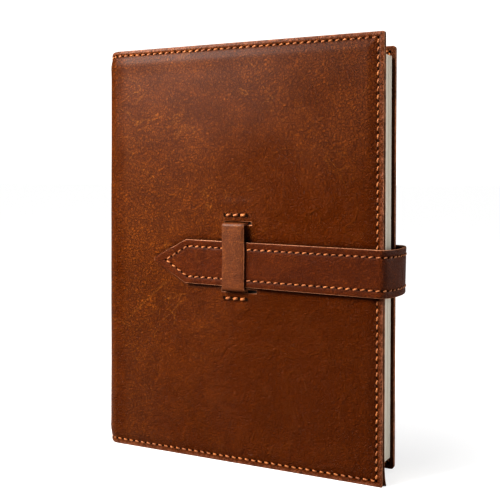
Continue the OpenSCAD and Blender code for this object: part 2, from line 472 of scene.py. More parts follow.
def squeezed(tree: Tree, vector: Socket, x: Any, z: Any = 1.0) -> Socket:
    """Coordinates multiplied along x and z, which stretches a pattern there."""
    parts = add_node(tree, "ShaderNodeSeparateXYZ", {0: vector}).outputs
    scaled = {0: math_node(tree, "MULTIPLY", parts[0], x), 1: parts[1], 2: math_node(tree, "MULTIPLY", parts[2], z)}
    return add_node(tree, "ShaderNodeCombineXYZ", scaled).outputs[0]


def off_middle(tree: Tree, value: Socket) -> Socket:
    """How far a noise value lies from its middle."""
    return math_node(tree, "ABSOLUTE", math_node(tree, "SUBTRACT", value, 0.5))


def bumped(tree: Tree, shader: Node, height: Socket, distance: float, strength: float = 1.0) -> None:
    """Gives the shader a bump of a height, at a distance in metres."""
    inputs = {"Height": height, "Distance": distance, "Strength": strength}
    tree.links.new(add_node(tree, "ShaderNodeBump", inputs).outputs[0], shader.inputs["Normal"])


def rgb(red: float, green: float, blue: float) -> Colour:
    """A colour with full alpha, from linear parts."""
    return (red, green, blue, 1.0)


@dataclass
class Effect:
    """A shader effect that several finishes share, as a node group built once.

    Attributes:
        name: Name of the group.
        output: Name of its output.
        inputs: Name and default of each number input.
        draw: Adds the nodes to the group and gives the value that it puts out.
        group: The group, once it is built.
    """

    name: str
    output: str
    inputs: dict[str, float]
    draw: Callable[[Tree, dict[str, Socket]], Socket]
    group: Tree | None = None

    def build(self) -> Tree:
        """Builds the group with a Vector input, its number inputs and one number output.

        Returns:
            The group.
        """
        tree = bpy.data.node_groups.new(self.name, "ShaderNodeTree")
        tree.interface.new_socket(name="Vector", in_out="INPUT", socket_type="NodeSocketVector")
        for key, value in self.inputs.items():
            tree.interface.new_socket(name=key, in_out="INPUT", socket_type="NodeSocketFloat").default_value = value
        tree.interface.new_socket(name=self.output, in_out="OUTPUT", socket_type="NodeSocketFloat")
        given = {s.name: s for s in tree.nodes.new("NodeGroupInput").outputs if s.name}
        tree.links.new(self.draw(tree, given), tree.nodes.new("NodeGroupOutput").inputs[0])
        return tree

    def __call__(self, tree: Tree, vector: Socket, **values: float) -> Socket:
        """Places the effect in a material.

        Args:
            tree: The material's node tree.
            vector: Coordinates of the pattern.
            **values: The group's inputs, with spaces as underscores.

        Returns:
            The effect's output.
        """
        self.group = self.group or self.build()
        inputs = {key.replace("_", " "): value for key, value in values.items()}
        return add_node(tree, "ShaderNodeGroup", {"Vector": vector, **inputs}, node_tree=self.group).outputs[0]


def draw_grain(tree: Tree, given: dict[str, Socket]) -> Socket:
    """Fine pebble of tanned hide, as a height."""
    vector = given["Vector"]
    edge = cell_edges(tree, vector, given["Cells per Metre"], cloudy(tree, vector, 420.0, 3.0, output=1), 0.0011)
    return math_node(tree, "MULTIPLY_ADD", cloudy(tree, vector, 2600.0, 2.0, 0.6), 0.5,
                     ranged(tree, edge, 0.0, given["Wall"]))


def draw_mottle(tree: Tree, given: dict[str, Socket]) -> Socket:
    """Cloudy unevenness of an oiled hide, 0 to 1."""
    return ranged(tree, cloudy(tree, given["Vector"], given["Scale"], 6.0, 0.62, 0.6), given["Low"], given["High"])


def draw_creases(tree: Tree, given: dict[str, Socket]) -> Socket:
    """Branching creases in patches, 1 along the line of a crease."""
    vector, low = given["Vector"], given["Patch Low"]
    edge = cell_edges(tree, vector, given["Scale"], cloudy(tree, vector, 60.0, 4.0, 0.65, output=1), 0.018)
    patch = ranged(tree, cloudy(tree, vector, given["Patch Scale"], 3.0), low, math_node(tree, "ADD", low, 0.16))
    return math_node(tree, "MULTIPLY", ranged(tree, edge, 0.0, given["Width"], 1.0, 0.0), patch)


def draw_folds(tree: Tree, given: dict[str, Socket]) -> Socket:
    """Long curved creases in patches, 1 along the ridge of a crease."""
    off = off_middle(tree, cloudy(tree, given["Vector"], given["Scale"], 2.5, 0.5, 0.7))
    patch = ranged(tree, cloudy(tree, given["Vector"], 17.0), 0.44, 0.60)
    return math_node(tree, "MULTIPLY", ranged(tree, off, 0.0, given["Width"], 1.0, 0.0), patch)


def along_hide(tree: Tree, given: dict[str, Socket]) -> Socket:
    """Coordinates turned and stretched the way that a streak runs."""
    inputs = {"Vector": given["Vector"], "Angle": given["Turn"]}
    turned = add_node(tree, "ShaderNodeVectorRotate", inputs, rotation_type="Y_AXIS").outputs[0]
    return squeezed(tree, turned, given["Stretch"])


def draw_wrinkles(tree: Tree, given: dict[str, Socket]) -> Socket:
    """Fine wrinkles that run one way over the hide, 1 in the furrows."""
    sway = math_node(tree, "MULTIPLY_ADD", cloudy(tree, given["Vector"], 11.0, 1.0), 3.0, given["Turn"])
    fine = cloudy(tree, along_hide(tree, given), given["Scale"], 4.0, 0.62, math_node(tree, "MULTIPLY", sway, 0.4))
    return ranged(tree, off_middle(tree, fine), 0.0, 0.16, 1.0, 0.0)


def draw_scratches(tree: Tree, given: dict[str, Socket]) -> Socket:
    """Thin pale scratches that run one way, 1 along a scratch."""
    low, scale = given["Low"], given["Scale"]
    streak = cloudy(tree, along_hide(tree, given), math_node(tree, "MULTIPLY", scale, 9.0))
    line = ranged(tree, streak, low, math_node(tree, "ADD", low, 0.05), curve="LINEAR")
    return math_node(tree, "MULTIPLY", line, ranged(tree, cloudy(tree, given["Vector"], scale), 0.5, 0.62))


GRAIN = Effect("leather_grain", "Height", {"Cells per Metre": 1400.0, "Wall": 0.22}, draw_grain)
MOTTLE = Effect("hide_mottle", "Mask", {"Scale": 30.0, "Low": 0.35, "High": 0.65}, draw_mottle)
CREASES = Effect("hide_creases", "Mask",
                 {"Scale": 90.0, "Width": 0.05, "Patch Scale": 22.0, "Patch Low": 0.48}, draw_creases)
FOLDS = Effect("hide_folds", "Mask", {"Scale": 30.0, "Width": 0.009}, draw_folds)
WRINKLES = Effect("hide_wrinkles", "Height", {"Scale": 650.0, "Stretch": 0.5, "Turn": 0.6}, draw_wrinkles)
SCRATCHES = Effect("hide_scratches", "Mask",
                   {"Scale": 60.0, "Stretch": 0.06, "Turn": 0.7, "Low": 0.66}, draw_scratches)


def new_material(name: str, rough: float = 0.5, shine: float = 0.5) -> tuple[Material, Tree, Node, Socket]:
    """Starts a material with a Principled shader.

    Args:
        name: Name of the material.
        rough: Roughness.
        shine: Strength of the reflection.

    Returns:
        The material, its tree, the shader node and the object coordinates.
    """
    material = bpy.data.materials.new(name)
    material.use_nodes = True
    tree = material.node_tree
    shader = tree.nodes["Principled BSDF"]
    shader.inputs["Roughness"].default_value = rough
    shader.inputs["Specular IOR Level"].default_value = shine
    return material, tree, shader, add_node(tree, "ShaderNodeTexCoord").outputs["Object"]


# Finishes


@dataclass(frozen=True)
class LeatherFinish:
    """Oiled leather: its colours, its grain, how much it has been handled, and the painted shade and highlights that a
    marked cover carries.

    Attributes:
        name: Name of the material.
        dark: Colour where the oil lies deep, also used for painted shade.
        light: Colour where the hide was pulled and the oil moved.
        worn: Colour of worn ridges, scratches and edges.
        rough: Roughness.
        shine: Strength of the bare leather's reflection.
        coat: Weight of the wax that gives the sheen.
        grain: Depth of the grain.
        crease: Height of the creases.
        wrinkle: Depth of the fine wrinkles.
        scratch: Strength of the scratches.
        cells: Grain cells to the metre.
        relief: Distance that the bump stands for.
        marked: Whether the mesh tells its distance from the seam's edge, how little grain it shows with its painted
            shade, and the painted shadow round the strap.
        strap_shadow: Colour of the painted shadow on the leather round the strap.
        margin_highlight: Colour of the painted highlight on the margin outside the seam.
    """

    name: str
    dark: Colour
    light: Colour
    worn: Colour
    rough: float = 0.45
    shine: float = 0.045
    coat: float = 0.13
    grain: float = 0.06
    crease: float = 0.2
    wrinkle: float = 0.34
    scratch: float = 0.13
    cells: float = 1400.0
    relief: float = 1.7 * MM
    marked: bool = False
    strap_shadow: Colour = rgb(0.02, 0.004, 0.0004)
    margin_highlight: Colour = rgb(0.40, 0.15, 0.08)

    def build(self) -> Material:
        """Builds the material.

        Returns:
            The material.
        """
        material, tree, shader, coords = new_material(self.name, shine=self.shine)
        times, plus = partial(math_node, tree, "MULTIPLY"), partial(math_node, tree, "MULTIPLY_ADD")
        broad = MOTTLE(tree, coords, Scale=14.0, Low=0.4, High=0.6)
        cloud = MOTTLE(tree, coords, Scale=55.0, Low=0.4, High=0.62)
        fine = MOTTLE(tree, coords, Scale=480.0, Low=0.41, High=0.59)
        crease = FOLDS(tree, coords)
        branching = CREASES(tree, coords, Scale=230.0, Width=0.06, Patch_Scale=30.0, Patch_Low=0.42)
        wrinkle = WRINKLES(tree, coords, Scale=520.0, Stretch=0.6)
        pebble = GRAIN(tree, coords, Cells_per_Metre=self.cells * 0.42, Wall=0.15)
        grain = GRAIN(tree, coords, Cells_per_Metre=self.cells)
        scratch = SCRATCHES(tree, coords, Scale=34.0, Turn=0.75)
        edge, smooth_and_shade, strap_shadow_mask = (add_node(tree, "ShaderNodeAttribute", attribute_name=name).outputs["Fac"]
                                 for name in ("edge_mm", "smooth_and_shade", "strap_shadow_mask"))
        skin = plus(smooth_and_shade, -0.45, 1.0)
        layers = [
            (times(crease, 0.3), self.worn),
            (times(branching, 0.12), self.worn),
            (times(ranged(tree, pebble, 0.95, 0.35, 0.0, 0.6), skin), self.dark),
            (times(ranged(tree, pebble, 0.95, 1.4, 0.0, 0.05), skin), self.worn),
            (ranged(tree, wrinkle, 0.45, 1.0, 0.0, 0.6), self.dark),
            (times(scratch, self.scratch), self.worn),
        ]
        if self.marked:
            layers += [
                # Painted shade: darker in the channel beside the seam, about 3.5 to 8.5 mm from the edge.
                (times(ranged(tree, edge, 8.5, 3.5, 0.0, 0.4), ranged(tree, edge, 3.2, 4.0)), self.dark),
                # Painted shade: darker beside the fold and towards the lower fore-edge, and evenly over the spine.
                (times(smooth_and_shade, 0.8), self.dark),
                # Painted shadow along the strap's outline on the front panel.
                (times(strap_shadow_mask, 0.6), self.strap_shadow),
                # Painted highlight on the margin outside the seam, broken up by the fine mottle.
                (times(ranged(tree, edge, 2.6, 0.4), plus(fine, 0.4, 0.15)), self.margin_highlight),
            ]
        blend = plus(times(fine, skin), 0.24, plus(broad, 0.38, times(cloud, 0.34)))
        colour = mixed(tree, blend, self.dark, self.light)
        for share, towards in layers:
            colour = mixed(tree, share, colour, towards)
        tree.links.new(colour, shader.inputs["Base Color"])
        tree.links.new(plus(smooth_and_shade, -0.93 * self.coat, self.coat), shader.inputs["Coat Weight"])
        shader.inputs["Coat Roughness"].default_value = self.rough + 0.07
        rough = plus(grain, 0.05, plus(cloud, 0.12, plus(smooth_and_shade, -0.14, self.rough - 0.06)))
        tree.links.new(rough, shader.inputs["Roughness"])
        rough_skin = times(plus(broad, 0.5, 0.5), skin)
        height = times(grain, self.grain)
        for value, share in (
            (crease, self.crease), (branching, 0.5 * self.crease), (times(wrinkle, rough_skin), -self.wrinkle),
            (times(pebble, rough_skin), 1.3 * self.wrinkle), (scratch, -0.08), (cloud, 0.4),
        ):
            height = plus(value, share, height)
        bumped(tree, shader, height, self.relief)
        return material


@dataclass(frozen=True)
class FibreFinish:
    """Fibres and patches of two colours: a cut edge, a waxed thread or the painted shade of an awl hole.

    Attributes:
        name: Name of the material.
        dark: Colour between the fibres.
        light: Colour of the fibres.
        fibre: Scale, low end, high end and share of the fibres.
        patch: Scale, low end, high end and share of the patches.
        rough: Roughness.
        shine: Strength of the reflection.
        relief: Distance that the bump stands for.
    """

    name: str
    dark: Colour
    light: Colour
    fibre: tuple[float, float, float, float] = (600.0, 0.3, 0.7, 0.5)
    patch: tuple[float, float, float, float] = (90.0, 0.4, 0.65, 0.5)
    rough: float = 0.75
    shine: float = 0.15
    relief: float = 0.25 * MM

    def build(self) -> Material:
        """Builds the material.

        Returns:
            The material.
        """
        material, tree, shader, coords = new_material(self.name, self.rough, self.shine)
        fibre, patch = (MOTTLE(tree, coords, Scale=scale, Low=low, High=high)
                        for scale, low, high, _ in (self.fibre, self.patch))
        blend = math_node(tree, "MULTIPLY_ADD", fibre, self.fibre[3], math_node(tree, "MULTIPLY", patch, self.patch[3]))
        tree.links.new(mixed(tree, blend, self.dark, self.light), shader.inputs["Base Color"])
        if self.relief:
            bumped(tree, shader, fibre, self.relief)
        return material


@dataclass(frozen=True)
class PaperFinish:
    """Cut sheets: faint lines of leaves on the edges, plain faces."""

    name: str = "page_paper"
    shade: Colour = rgb(0.50, 0.45, 0.37)
    light: Colour = rgb(0.66, 0.61, 0.52)
    leaf: float = 0.16 * MM
    along: float = 0.005

    def build(self) -> Material:
        """Builds the material.

        Returns:
            The material.
        """
        material, tree, shader, coords = new_material(self.name, rough=0.9)
        flat = squeezed(tree, coords, self.along, self.along)
        leaves = cloudy(tree, flat, 1 / self.leaf / 2, 3.0)
        tone = ranged(tree, cloudy(tree, flat, 260.0), 0.35, 0.65)
        lines = math_node(tree, "MULTIPLY", ranged(tree, leaves, 0.3, 0.7), 0.5)
        blend = math_node(tree, "MULTIPLY_ADD", tone, 0.5, lines)
        tree.links.new(mixed(tree, blend, self.shade, self.light), shader.inputs["Base Color"])
        bumped(tree, shader, leaves, 0.08 * MM, 0.7)
        return material


@dataclass(frozen=True)
class WovenFinish:
    """Dark bookbinding cloth or covered card, with a fine even weave."""

    name: str
    dark: Colour
    light: Colour
    threads: float = 1500.0

    def build(self) -> Material:
        """Builds the material.

        Returns:
            The material.
        """
        material, tree, shader, coords = new_material(self.name, rough=0.8)
        inputs = {"Vector": coords, "Scale": self.threads, "Distortion": 0.6, "Detail": 1.0}
        rows = (add_node(tree, "ShaderNodeTexWave", inputs, bands_direction=axis).outputs[0] for axis in ("Y", "Z"))
        weave = math_node(tree, "MULTIPLY", *rows)
        cloud = MOTTLE(tree, coords, Scale=70.0)
        blend = math_node(tree, "MULTIPLY_ADD", weave, 0.5, math_node(tree, "MULTIPLY", cloud, 0.4))
        tree.links.new(mixed(tree, blend, self.dark, self.light), shader.inputs["Base Color"])
        bumped(tree, shader, weave, 0.1 * MM)
        return material


class Finishes:
    """Every material of the notebook, built once."""

    def __init__(self) -> None:
        """Builds the materials."""
        self.cover = LeatherFinish(
            "cover_leather", rgb(0.064, 0.0116, 0.0002), rgb(0.200, 0.046, 0.0010), rgb(0.46, 0.155, 0.016),
            rough=0.35, marked=True,
        ).build()
        self.pocket = LeatherFinish(
            "pocket_leather", rgb(0.075, 0.020, 0.005), rgb(0.16, 0.048, 0.014), rgb(0.3, 0.11, 0.04),
            rough=0.6, coat=0.05, grain=0.1, crease=0.1, scratch=0.2,
        ).build()
        self.strap = LeatherFinish(
            "strap_leather", rgb(0.052, 0.0085, 0.0003), rgb(0.126, 0.0245, 0.0008), rgb(0.26, 0.070, 0.008),
            rough=0.36, coat=0.10, grain=0.05, crease=0.12, scratch=0.1, cells=1900.0, wrinkle=0.15,
        ).build()
        self.keeper = LeatherFinish(
            "keeper_leather", rgb(0.085, 0.018, 0.001), rgb(0.210, 0.055, 0.006), rgb(0.36, 0.13, 0.03),
            rough=0.4, coat=0.34, grain=0.05, crease=0.15, scratch=0.1, cells=1900.0, wrinkle=0.16,
        ).build()
        # The cover's cut edge is pale partly in its own colour and partly as a painted highlight along the edge.
        self.cover_edge = FibreFinish("cover_cut_edge", rgb(0.060, 0.018, 0.006), rgb(0.42, 0.17, 0.08)).build()
        # The strap's cut edge is pale partly in its own colour and partly as a painted highlight along its top and
        # point.
        self.strap_edge = FibreFinish("strap_cut_edge", rgb(0.18, 0.070, 0.032), rgb(0.42, 0.19, 0.10)).build()
        self.thread = FibreFinish(
            "waxed_thread", rgb(0.17, 0.04, 0.008), rgb(0.50, 0.17, 0.04),
            (2200.0, 0.3, 0.7, 0.35), (180.0, 0.3, 0.62, 0.65), rough=0.55, shine=0.5, relief=0.15 * MM,
        ).build()
        # Near-black discs of painted shade where the thread goes into the leather.
        self.hole = FibreFinish(
            "awl_hole_shade", rgb(0.006, 0.003, 0.002), rgb(0.02, 0.009, 0.005),
            (900.0, 0.35, 0.65, 1.0), (900.0, 0.35, 0.65, 0.0), rough=1.0, shine=0.0, relief=0.0,
        ).build()
        self.paper = PaperFinish().build()
        self.card = WovenFinish("covered_card", rgb(0.02, 0.015, 0.012), rgb(0.05, 0.038, 0.03), 900.0).build()
        self.cloth = WovenFinish("binding_cloth", rgb(0.016, 0.012, 0.010), rgb(0.05, 0.038, 0.03)).build()


# Sewing


@dataclass(frozen=True)
class Hole:
    """A place where the thread goes through the leather, with the way out of the surface."""

    place: Vector
    out: Vector


@dataclass
class Stitching:
    """One piece of sewing: stitches from hole to hole, and dark discs of painted shade at the awl holes."""

    name: str
    finishes: Finishes
    seed: int
    slant: float = 0.24
    reach: float = 0.70
    dive: float = 1.0 * MM
    thread: float = SEAMS.thread
    cuts: tuple[float, ...] = (0.20, 0.34, 0.43)
    hole_lift: float = 0.2 * MM
    rows: list[tuple[list[Hole], float]] = field(default_factory=list)

    def add_row(self, holes: list[Hole], lean: float = 1.0) -> None:
        """Adds a row that runs through the holes in turn, with the way and share of its slant."""
        self.rows.append((holes, lean))

    def stitch_shape(self) -> Object:
        """One stitch of unit length along x, both ends diving into their holes.

        Returns:
            The stitch at the origin.
        """
        select_only()
        bpy.ops.mesh.primitive_cylinder_add(vertices=8, radius=self.thread / 2, depth=1.0, end_fill_type="NOTHING")
        obj = bpy.context.object
        with editing(obj):
            for place in (0.0, *(side * cut for cut in self.cuts for side in (-1, 1))):
                bpy.ops.mesh.select_all(action="SELECT")
                bpy.ops.mesh.bisect(plane_co=(0, 0, place), plane_no=(0, 0, 1))
        across, up, along = points_of(obj).T
        s = 2 * along
        twist = 1 + 0.10 * np.cos(2 * np.arctan2(up, across) - 5 * s)
        thick = (1 - 0.25 * np.abs(s) ** 6) * twist
        put_points(obj, np.stack([along, across * thick, up * thick * 0.9 - self.dive * np.abs(s) ** 4], -1))
        with editing(obj):
            bpy.ops.mesh.normals_make_consistent(inside=False)
        shade(obj, 60)
        dress(obj, self.finishes.thread)
        return obj

    def hole_shade_disc(self) -> Object:
        """A dark disc of painted shade at one awl hole, a small slot seen from above.

        Returns:
            The hole at the origin, facing +z.
        """
        select_only()
        bpy.ops.mesh.primitive_circle_add(vertices=10, radius=0.8 * self.thread, fill_type="NGON")
        obj = bpy.context.object
        put_points(obj, points_of(obj) * (1, 0.8, 1) + (0, 0, self.hole_lift))
        dress(obj, self.finishes.hole)
        return obj

    def places(self) -> tuple[list[Matrix], list[Matrix]]:
        """Where every stitch and every hole goes.

        Returns:
            The stitches' matrices and the holes' matrices.
        """
        chance = random.Random(self.seed)
        stitches, holes = [], []
        for row, lean in self.rows:
            for k, hole in enumerate(row):
                turn, _ = self.turned(row[max(k - 1, 0)], row[min(k + 1, len(row) - 1)])
                slot = Matrix.Rotation(-0.9 * lean + chance.uniform(-0.15, 0.15), 4, "Z")
                holes.append(Matrix.Translation(hole.place) @ turn @ slot)
            for a, b in zip(row, row[1:]):
                turn, up = self.turned(a, b)
                slant = Matrix.Rotation(lean * self.slant + chance.uniform(-0.07, 0.07), 4, "Z")
                lift = self.thread * (0.40 + chance.uniform(-0.06, 0.06))
                length = (b.place - a.place).length * self.reach * (1 + chance.uniform(-0.05, 0.05))
                size = Matrix.Diagonal((length, 1 + chance.uniform(-0.08, 0.12), 1, 1))
                stitches.append(Matrix.Translation((a.place + b.place) / 2 + up * lift) @ turn @ slant @ size)
        return stitches, holes

    @staticmethod
    def turned(a: Hole, b: Hole) -> tuple[Matrix, Vector]:
        """The turn of a stitch between two holes, and the way out of the leather.

        Args:
            a: The first hole.
            b: The second hole.

        Returns:
            The turn and the way out.
        """
        along = (b.place - a.place).normalized()
        side = (a.out + b.out).cross(along).normalized()
        up = along.cross(side).normalized()
        return Matrix((along, side, up)).transposed().to_4x4(), up

    def build(self, *nodes: str) -> Object:
        """Models the sewing.

        Args:
            *nodes: The frame's nodes that the sewing stands for.

        Returns:
            The finished piece, not yet riding on a body.
        """
        stitches, holes = self.places()
        obj = joined(self.name, copies(self.stitch_shape(), stitches) + copies(self.hole_shade_disc(), holes))
        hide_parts(*nodes)
        return obj


def row_of_holes(start: Sequence[float], end: Sequence[float], out: Vector) -> list[Hole]:
    """Holes at an even pitch on a straight line, from the first place to the last."""
    start, end = Vector(start), Vector(end)
    count = max(1, round((end - start).length / SEAMS.pitch))
    return [Hole(start.lerp(end, i / count), out) for i in range(count + 1)]


# Leather of the cover


@dataclass(frozen=True)
class Relief:
    """Section of a sewn panel: the margin, its groove and the field that the card lifts."""

    rise: float = 0.6 * MM
    foot: float = 3.7 * MM
    shoulder: float = 8.5 * MM
    roll: float = 0.45 * MM
    roll_width: float = 1.7 * MM
    dimple_half: float = 1.6 * MM
    wave: float = 0.38 * MM
    wave_size: float = 42 * MM
    wave_start: float = 5 * MM
    wave_full: float = 16 * MM

    def depth(self, edge: Array, run: Array, places: Array) -> Array:
        """Depth of the surface below the top of the field.

        Args:
            edge: Distance from the nearest sewn edge.
            run: Distance along the seam, from a hole.
            places: The vertices' places, for the unevenness.

        Returns:
            One depth for each vertex.
        """
        depth = self.rise * (1 - smoothstep(self.foot, self.shoulder, edge))
        depth += SEAMS.groove * bell(edge, SEAMS.inset, SEAMS.groove_half)
        depth += SEAMS.dimple * SEAMS.pull(run) * bell(edge, SEAMS.inset, self.dimple_half)
        depth += self.roll * (1 - smoothstep(0, self.roll_width, edge))
        swell, ripple = (0.5 + 0.5 * noise_at(places, self.wave_size / share, seed)
                         for share, seed in ((1, 3.1), (4, 8.2)))
        return depth + smoothstep(self.wave_start, self.wave_full, edge) * self.wave * (0.8 * swell + 0.2 * ripple)


RELIEF = Relief()


@dataclass
class CoverPanel:
    """Outer leather of one cover, and its seam outside and inside."""

    layout: Layout
    side: Side
    finishes: Finishes
    leather: float = 1.8 * MM
    fine: float = 8 * MM
    fine_step: float = 0.5 * MM
    step: float = 1.3 * MM
    rim: float = 0.4 * MM
    fold_reach: float = 13 * MM
    pocket_w: float = 67 * MM
    slit_height: float = 1.8 * MM
    slit_reach: tuple[tuple[float, float], ...] = ((1.7 * MM, 6.0 * MM), (0.2 * MM, 2.9 * MM))
    strap_print: float = 0.4 * MM
    slit_lift: float = 0.5 * MM
    tail_lift: float = 0.4 * MM
    edge_lift: float = 0.22 * MM
    outer_depth: float = RELIEF.rise + SEAMS.groove + SEAMS.dimple - 0.06 * MM
    inner_depth: float = 3.6 * MM
    bare_depth: float = 2.55 * MM

    def __post_init__(self) -> None:
        """Works out the panel's own places."""
        self.front = self.side is Side.FRONT
        self.body = "front_cover" if self.front else "back_cover"
        self.width = self.layout.fore_x[self.side] - self.layout.fold_x
        self.height = self.layout.top[self.side]
        self.face_y = self.layout.face_y[self.side]
        self.corner = (0.7 if self.front else 1.4) * MM

    def slits(self) -> list[tuple[float, float, float, float]]:
        """The keeper's two slits in the front panel.

        Returns:
            Low x, high x, low z and high z of each.
        """
        low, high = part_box("keeper_loop")
        found = []
        for sign, (left, right) in zip((-1, 1), self.slit_reach if self.front else ()):
            z = (low.z + high.z) / 2 + sign * (Keeper.height / 2 - Keeper.thickness / 2 + 0.3 * MM)
            found.append((low.x - left, high.x + right, z - self.slit_height / 2, z + self.slit_height / 2))
        return found

    def heights(self) -> Array:
        """Line positions from the foot to the head, with lines on the slits' edges."""
        step = self.step * self.height / self.layout.top[Side.FRONT]
        lines = ruled_lines(self.height, self.fine, self.fine_step, step, True)
        return snapped(lines, [z for slit in self.slits() for z in slit[2:]])

    def build(self) -> Object:
        """Models the panel.

        Returns:
            The finished piece.
        """
        width, height, fold_x = self.width, self.height, self.layout.fold_x
        across = ruled_lines(width, self.fine, self.fine_step, self.step, False)
        across = snapped(across, [x - fold_x for slit in self.slits() for x in slit[:2]])
        obj, u, z = ruled_grid(f"{self.body}_leather", across, self.heights())
        to_fore, to_end = width - u, np.minimum(z, height - z)
        edge = np.minimum(to_fore, to_end)
        row_run = u * SEAMS.pitch / SEAMS.fitted(width - SEAMS.inset)
        column_run = (z - SEAMS.inset) * SEAMS.pitch / SEAMS.fitted(height - 2 * SEAMS.inset)
        places = np.stack([fold_x + u, np.full_like(u, self.face_y), z], -1)
        depth = RELIEF.depth(edge, np.where(to_fore <= to_end, column_run, row_run), places)
        depth += self.strap_print * self.beside_strap(places, 1.6 * MM) - self.around_keeper(places)
        free = 1 - smoothstep(0, SEAMS.inset, to_fore)
        depth += free * self.edge_lift * noise_at(places * (0, 0, 1), 11 * MM, 5.0 + self.side.value)
        u, z = self.rounded_corners(u, z)
        places[:, 0] = fold_x + u
        places[:, 1] -= self.side.value * depth
        places[:, 2] = z
        put_points(obj, places)
        add_values(obj, "edge_mm", edge / MM)
        # Less grain and painted shade beside the fold and towards the lower fore-edge, for the cover material.
        add_values(obj, "smooth_and_shade", self.smoothness_and_shade(u, z, places))
        # Mask of the painted shadow round the strap, for the cover material.
        add_values(obj, "strap_shadow_mask", self.beside_strap(places, 2.0 * MM))
        for low_x, high_x, low_z, high_z in self.slits():
            remove_faces(obj, lambda c: (c[:, 0] > low_x) & (c[:, 0] < high_x) & (c[:, 2] > low_z) & (c[:, 2] < high_z))
        if not self.front:
            flip_faces(obj)
        make_leather(obj, self.leather, self.rim, (self.finishes.cover, self.finishes.cover_edge),
                     sharp=lambda middle: middle.x < fold_x + 0.3 * MM)
        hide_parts("front_leather" if self.front else "back_leather")
        return self.bend_at_fold(obj)

    def bend_at_fold(self, obj: Object) -> Object:
        """Bakes obj's place into its mesh."""
        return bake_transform(obj)

    def smoothness_and_shade(self, u: Array, z: Array, places: Array) -> Array:
        """How little grain the hide shows and how much painted shade darkens it: most beside the fold and towards the
        lower fore-edge.

        Args:
            u: Places across.
            z: Places along.
            places: The vertices' places.

        Returns:
            0 to 1 for each vertex.
        """
        up = z / self.height
        away = 1.45 * u / self.width * (1 - 0.9 * up**2) + 0.14 - 0.22 * up + 0.3 * noise_at(places, 38 * MM, 2.7)
        return smoothstep(0.1, 0.9, away + 0.5 * (1 - smoothstep(1 * MM, 11 * MM, u)))

    def around_keeper(self, places: Array) -> Array:
        """How far the keeper's tails and the edges of its slits lift the leather.

        Args:
            places: The vertices' places.

        Returns:
            The lift of each vertex.
        """
        lift = np.zeros(len(places))
        x, _, z = places.T
        for sign, (low_x, high_x, low_z, high_z) in zip((-1, 1), self.slits()):
            beside = np.maximum(np.maximum(low_x - x, x - high_x), 0)
            near = np.maximum(np.maximum(low_z - z, z - high_z), 0)
            lift += self.slit_lift * bell(near, 0, 2.2 * MM) * bell(beside, 0, 2.5 * MM)
            tail = sign * (z - (low_z if sign < 0 else high_z))
            on_tail = smoothstep(-1 * MM, 1 * MM, tail) * (1 - smoothstep(10 * MM, 13 * MM, tail))
            lift += self.tail_lift * on_tail * (1 - smoothstep(-1.5 * MM, 2 * MM, beside - 0.2 * MM))
        return lift

    def beside_strap(self, places: Array, reach: float) -> Array:
        """How much the strap presses the front panel, and the mask of the painted shadow round it; 1 under it.

        Args:
            places: The vertices' places.
            reach: Distance beyond the strap's outline where it ends.

        Returns:
            One value for each vertex.
        """
        strap = Strap(self.layout, self.finishes)
        fore_x = self.layout.fore_x[Side.FRONT]
        beyond_tip = places[:, 0] - (fore_x - strap.reach)
        middle = strap.middle_z + (fore_x - places[:, 0]) * math.sin(strap.fall)
        outside = np.abs(places[:, 2] - middle) - strap.half_width(np.maximum(beyond_tip, 0))
        return self.front * (1 - smoothstep(0, reach, outside)) * smoothstep(-reach, 0, beyond_tip)

    def rounded_corners(self, u: Array, z: Array) -> tuple[Array, Array]:
        """Draws the grid's square corners at the fore-edge in to round ones.

        Args:
            u: Places across.
            z: Places along.

        Returns:
            The new places across and along.
        """
        r = self.corner
        a = np.clip((u - (self.width - r)) / r, 0, 1)
        low, high = np.clip((r - z) / r, 0, 1), np.clip((z - (self.height - r)) / r, 0, 1)
        b = np.maximum(low, high)
        new_a, new_b = a * np.sqrt(1 - b * b / 2), b * np.sqrt(1 - a * a / 2)
        u = np.where(a > 0, self.width - r + new_a * r, u)
        z = np.where(low > 0, r - new_b * r, z)
        return u, np.where(high > 0, self.height - r + new_b * r, z)

    def seam_rows(self, depth: float, out: float, start: float) -> list[list[Hole]]:
        """Rows along the foot, the fore-edge and the head at one depth.

        Args:
            depth: Depth of the thread's bed below the outer face.
            out: Sign of y out of the surface.
            start: Distance from the fold at which the two long rows start.

        Returns:
            The three rows.
        """
        y = self.face_y - self.side.value * depth
        first, fore = self.layout.fold_x + start, self.layout.fold_x + self.width - SEAMS.inset
        low, high = SEAMS.inset, self.height - SEAMS.inset
        corners = [(first, y, low), (fore, y, low), (fore, y, high), (first, y, high)]
        return [row_of_holes(a, b, Vector((0, out, 0))) for a, b in zip(corners, corners[1:])]

    def sew(self) -> Object:
        """Models the seam.

        Returns:
            The finished piece.
        """
        sewing = Stitching(f"{self.body}_sewing", self.finishes, seed=11 + self.side.value)
        for row, lean in zip(self.seam_rows(self.outer_depth, self.side.value, 0.0), (-1, -1, 1)):
            sewing.add_row(row, lean)
        pocket_start = self.width - self.pocket_w
        for row in self.seam_rows(self.inner_depth, -self.side.value, pocket_start + SEAMS.pitch):
            sewing.add_row(row)
        for row in self.seam_rows(self.bare_depth, -self.side.value, 0.0)[::2]:
            sewing.add_row([hole for hole in row if hole.place.x < self.layout.fold_x + pocket_start])
        return self.bend_at_fold(sewing.build("front_stitching" if self.front else "back_stitching"))


